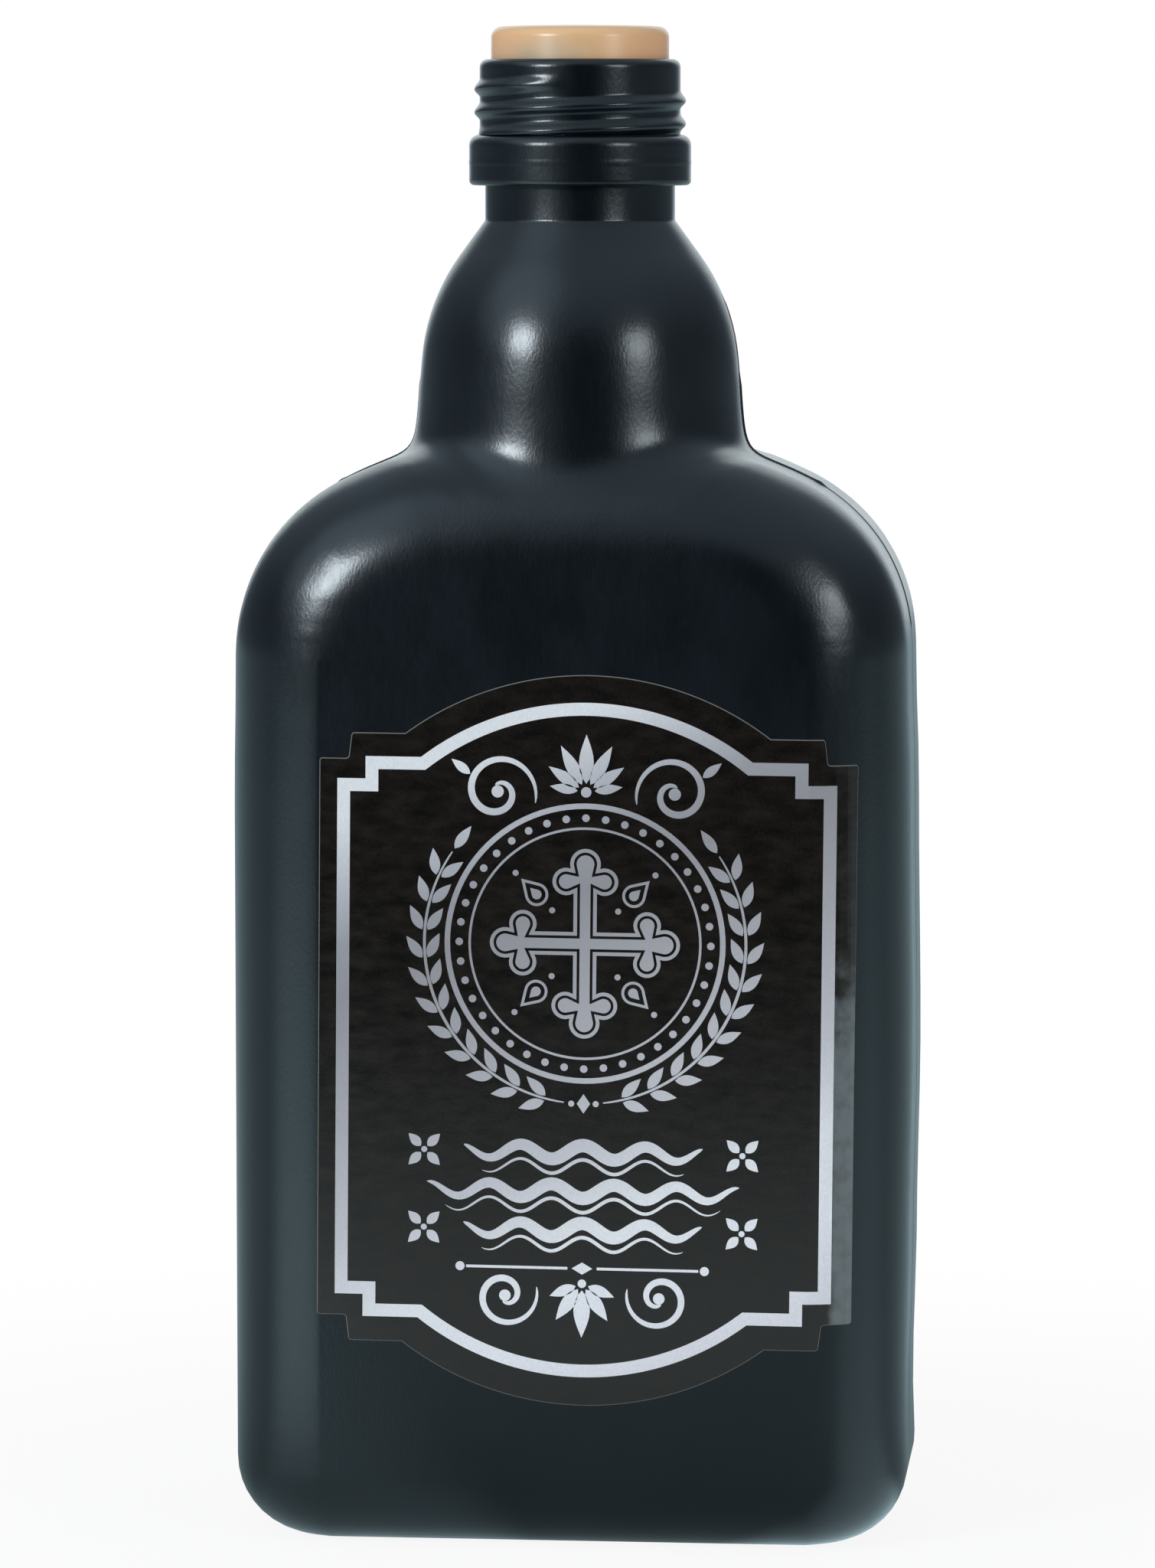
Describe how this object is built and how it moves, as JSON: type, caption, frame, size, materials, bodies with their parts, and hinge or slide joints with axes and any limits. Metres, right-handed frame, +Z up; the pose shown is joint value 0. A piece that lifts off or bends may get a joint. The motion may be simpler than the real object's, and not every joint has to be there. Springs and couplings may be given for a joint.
{
  "type": "holy water bottle",
  "caption": "Flat-sided moulded bottle with round shoulders, a bell-shaped dome, a screw neck with a collar band, a push-in stopper and a die-cut front label.",
  "frame": {"origin": "centre of the base, on the surface that the bottle stands on", "axes": "+Z up along the neck, -Y out of the front face with the label, +X to the right seen from the front"},
  "size_m": [0.1118, 0.0663, 0.2494],
  "materials": {
    "bottle_plastic": "satin black, blow-moulded",
    "stopper_plastic": "cork tan, moulded",
    "label_paper": "matt brown-black, printed in silver"
  },
  "bodies": {
    "bottle_body": {"bottle": "bottle_plastic", "front_label": "label_paper"},
    "stopper_body": {"stopper": "stopper_plastic"}
  },
  "joints": [
    {"name": "stopper_pull", "type": "slide", "parent": "bottle_body", "child": "stopper_body", "axis": [0, 0, 1], "range_m": [0, 0.025]}
  ]
}
